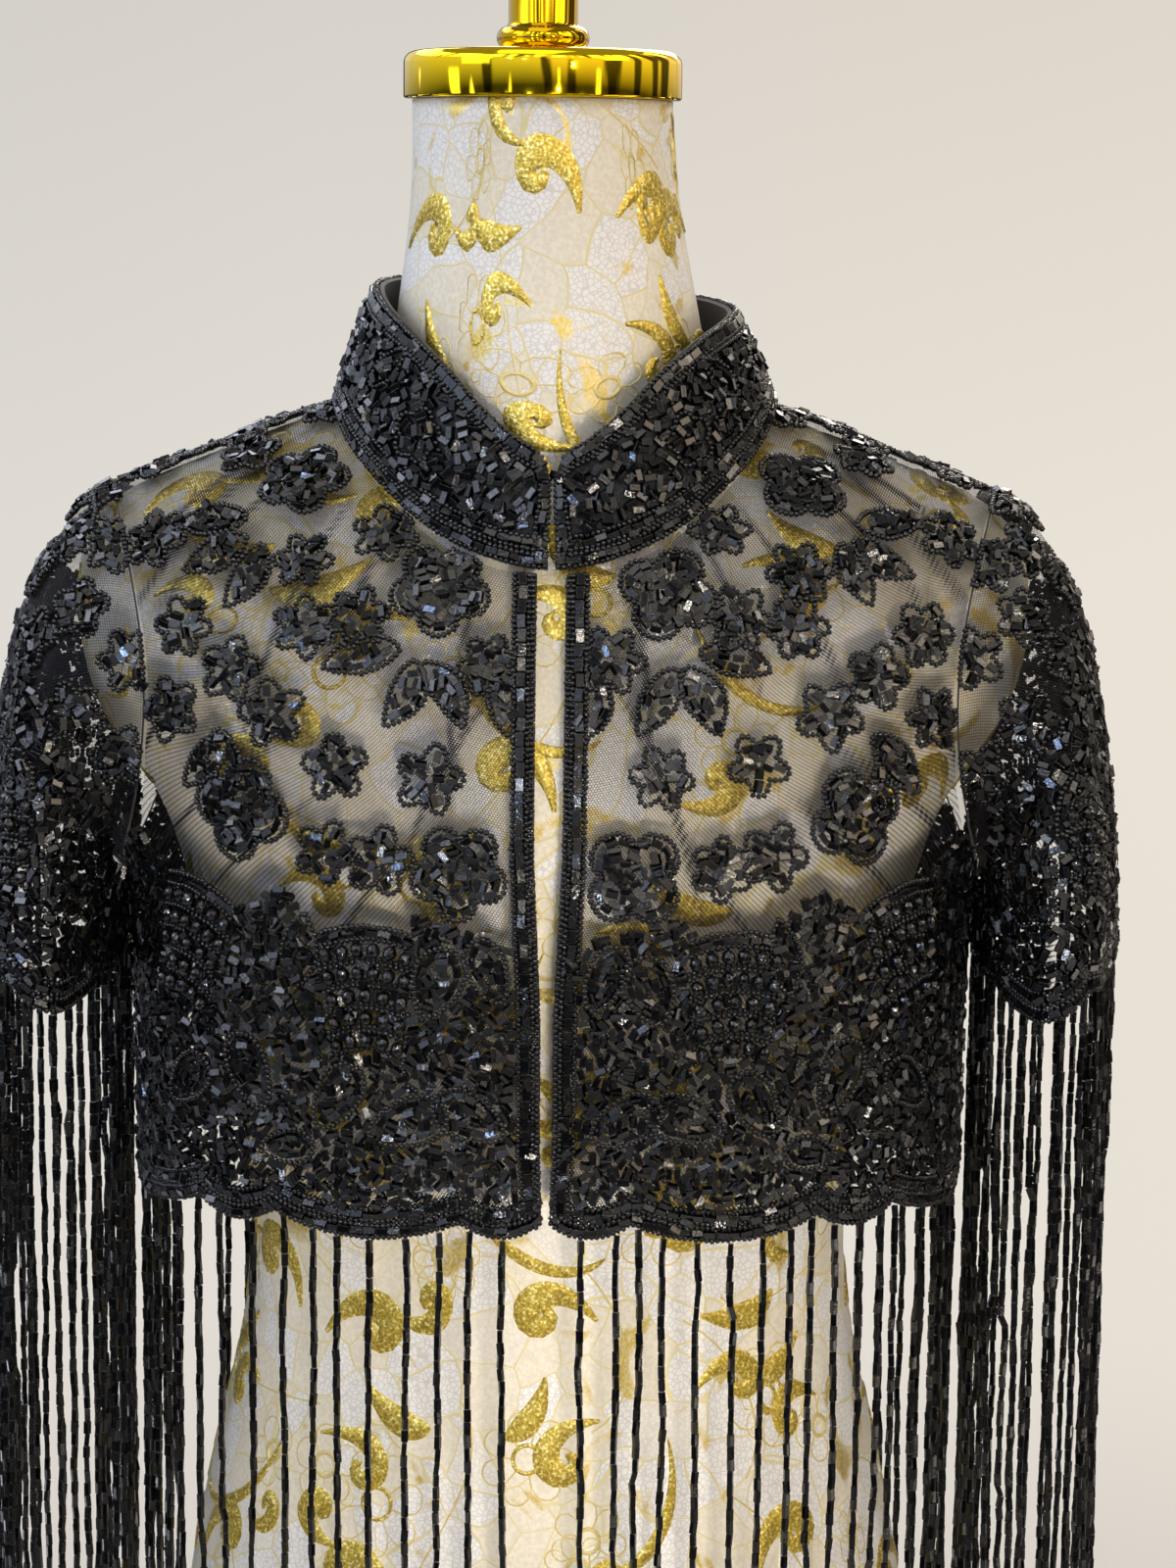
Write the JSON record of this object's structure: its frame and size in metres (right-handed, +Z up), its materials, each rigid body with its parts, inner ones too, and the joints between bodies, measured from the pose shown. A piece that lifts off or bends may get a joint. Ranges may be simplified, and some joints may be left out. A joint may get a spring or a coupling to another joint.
{
  "type": "beaded fringe capelet on dress form",
  "caption": "Cropped black net capelet with stand collar, short bell sleeves, bead embroidery and long bead fringe, open in front, on a lace-covered dress form with a gold cap and stand.",
  "frame": {"origin": "centre of the stand base's underside, on the floor", "axes": "+Z up along the pole, +X towards the garment's left side, -Y towards its open front"},
  "size_m": [0.4976, 0.34, 1.0508],
  "materials": {
    "black_net": "fine black hexagonal net, half see-through, with bead embroidery",
    "black_beads": "opaque black glass beads, shiny",
    "black_cloth": "matt black woven cloth covered with beads",
    "black_wire": "black enamelled wire",
    "form_cover": "ivory satin under cream and gold lace",
    "gold_plate": "polished gold plate"
  },
  "bodies": {
    "root": {"front_left": "black_net", "front_right": "black_net", "back": "black_net", "sleeve_left": "black_net", "sleeve_right": "black_net", "front_edge_band_left": "black_beads", "front_edge_band_right": "black_beads", "hem_border_front_left": "black_beads", "hem_border_front_right": "black_beads", "hem_border_back": "black_beads", "hem_border_sleeve_left": "black_beads", "hem_border_sleeve_right": "black_beads", "fringe_front_left": "black_beads", "fringe_front_right": "black_beads", "fringe_back": "black_beads", "fringe_sleeve_left": "black_beads", "fringe_sleeve_right": "black_beads", "collar": "black_cloth", "collar_hook": "black_wire", "collar_eye": "black_wire", "form_torso": "form_cover", "neck_cap": "gold_plate", "finial": "gold_plate", "stand_pole": "gold_plate", "stand_base": "gold_plate"}
  },
  "joints": []
}
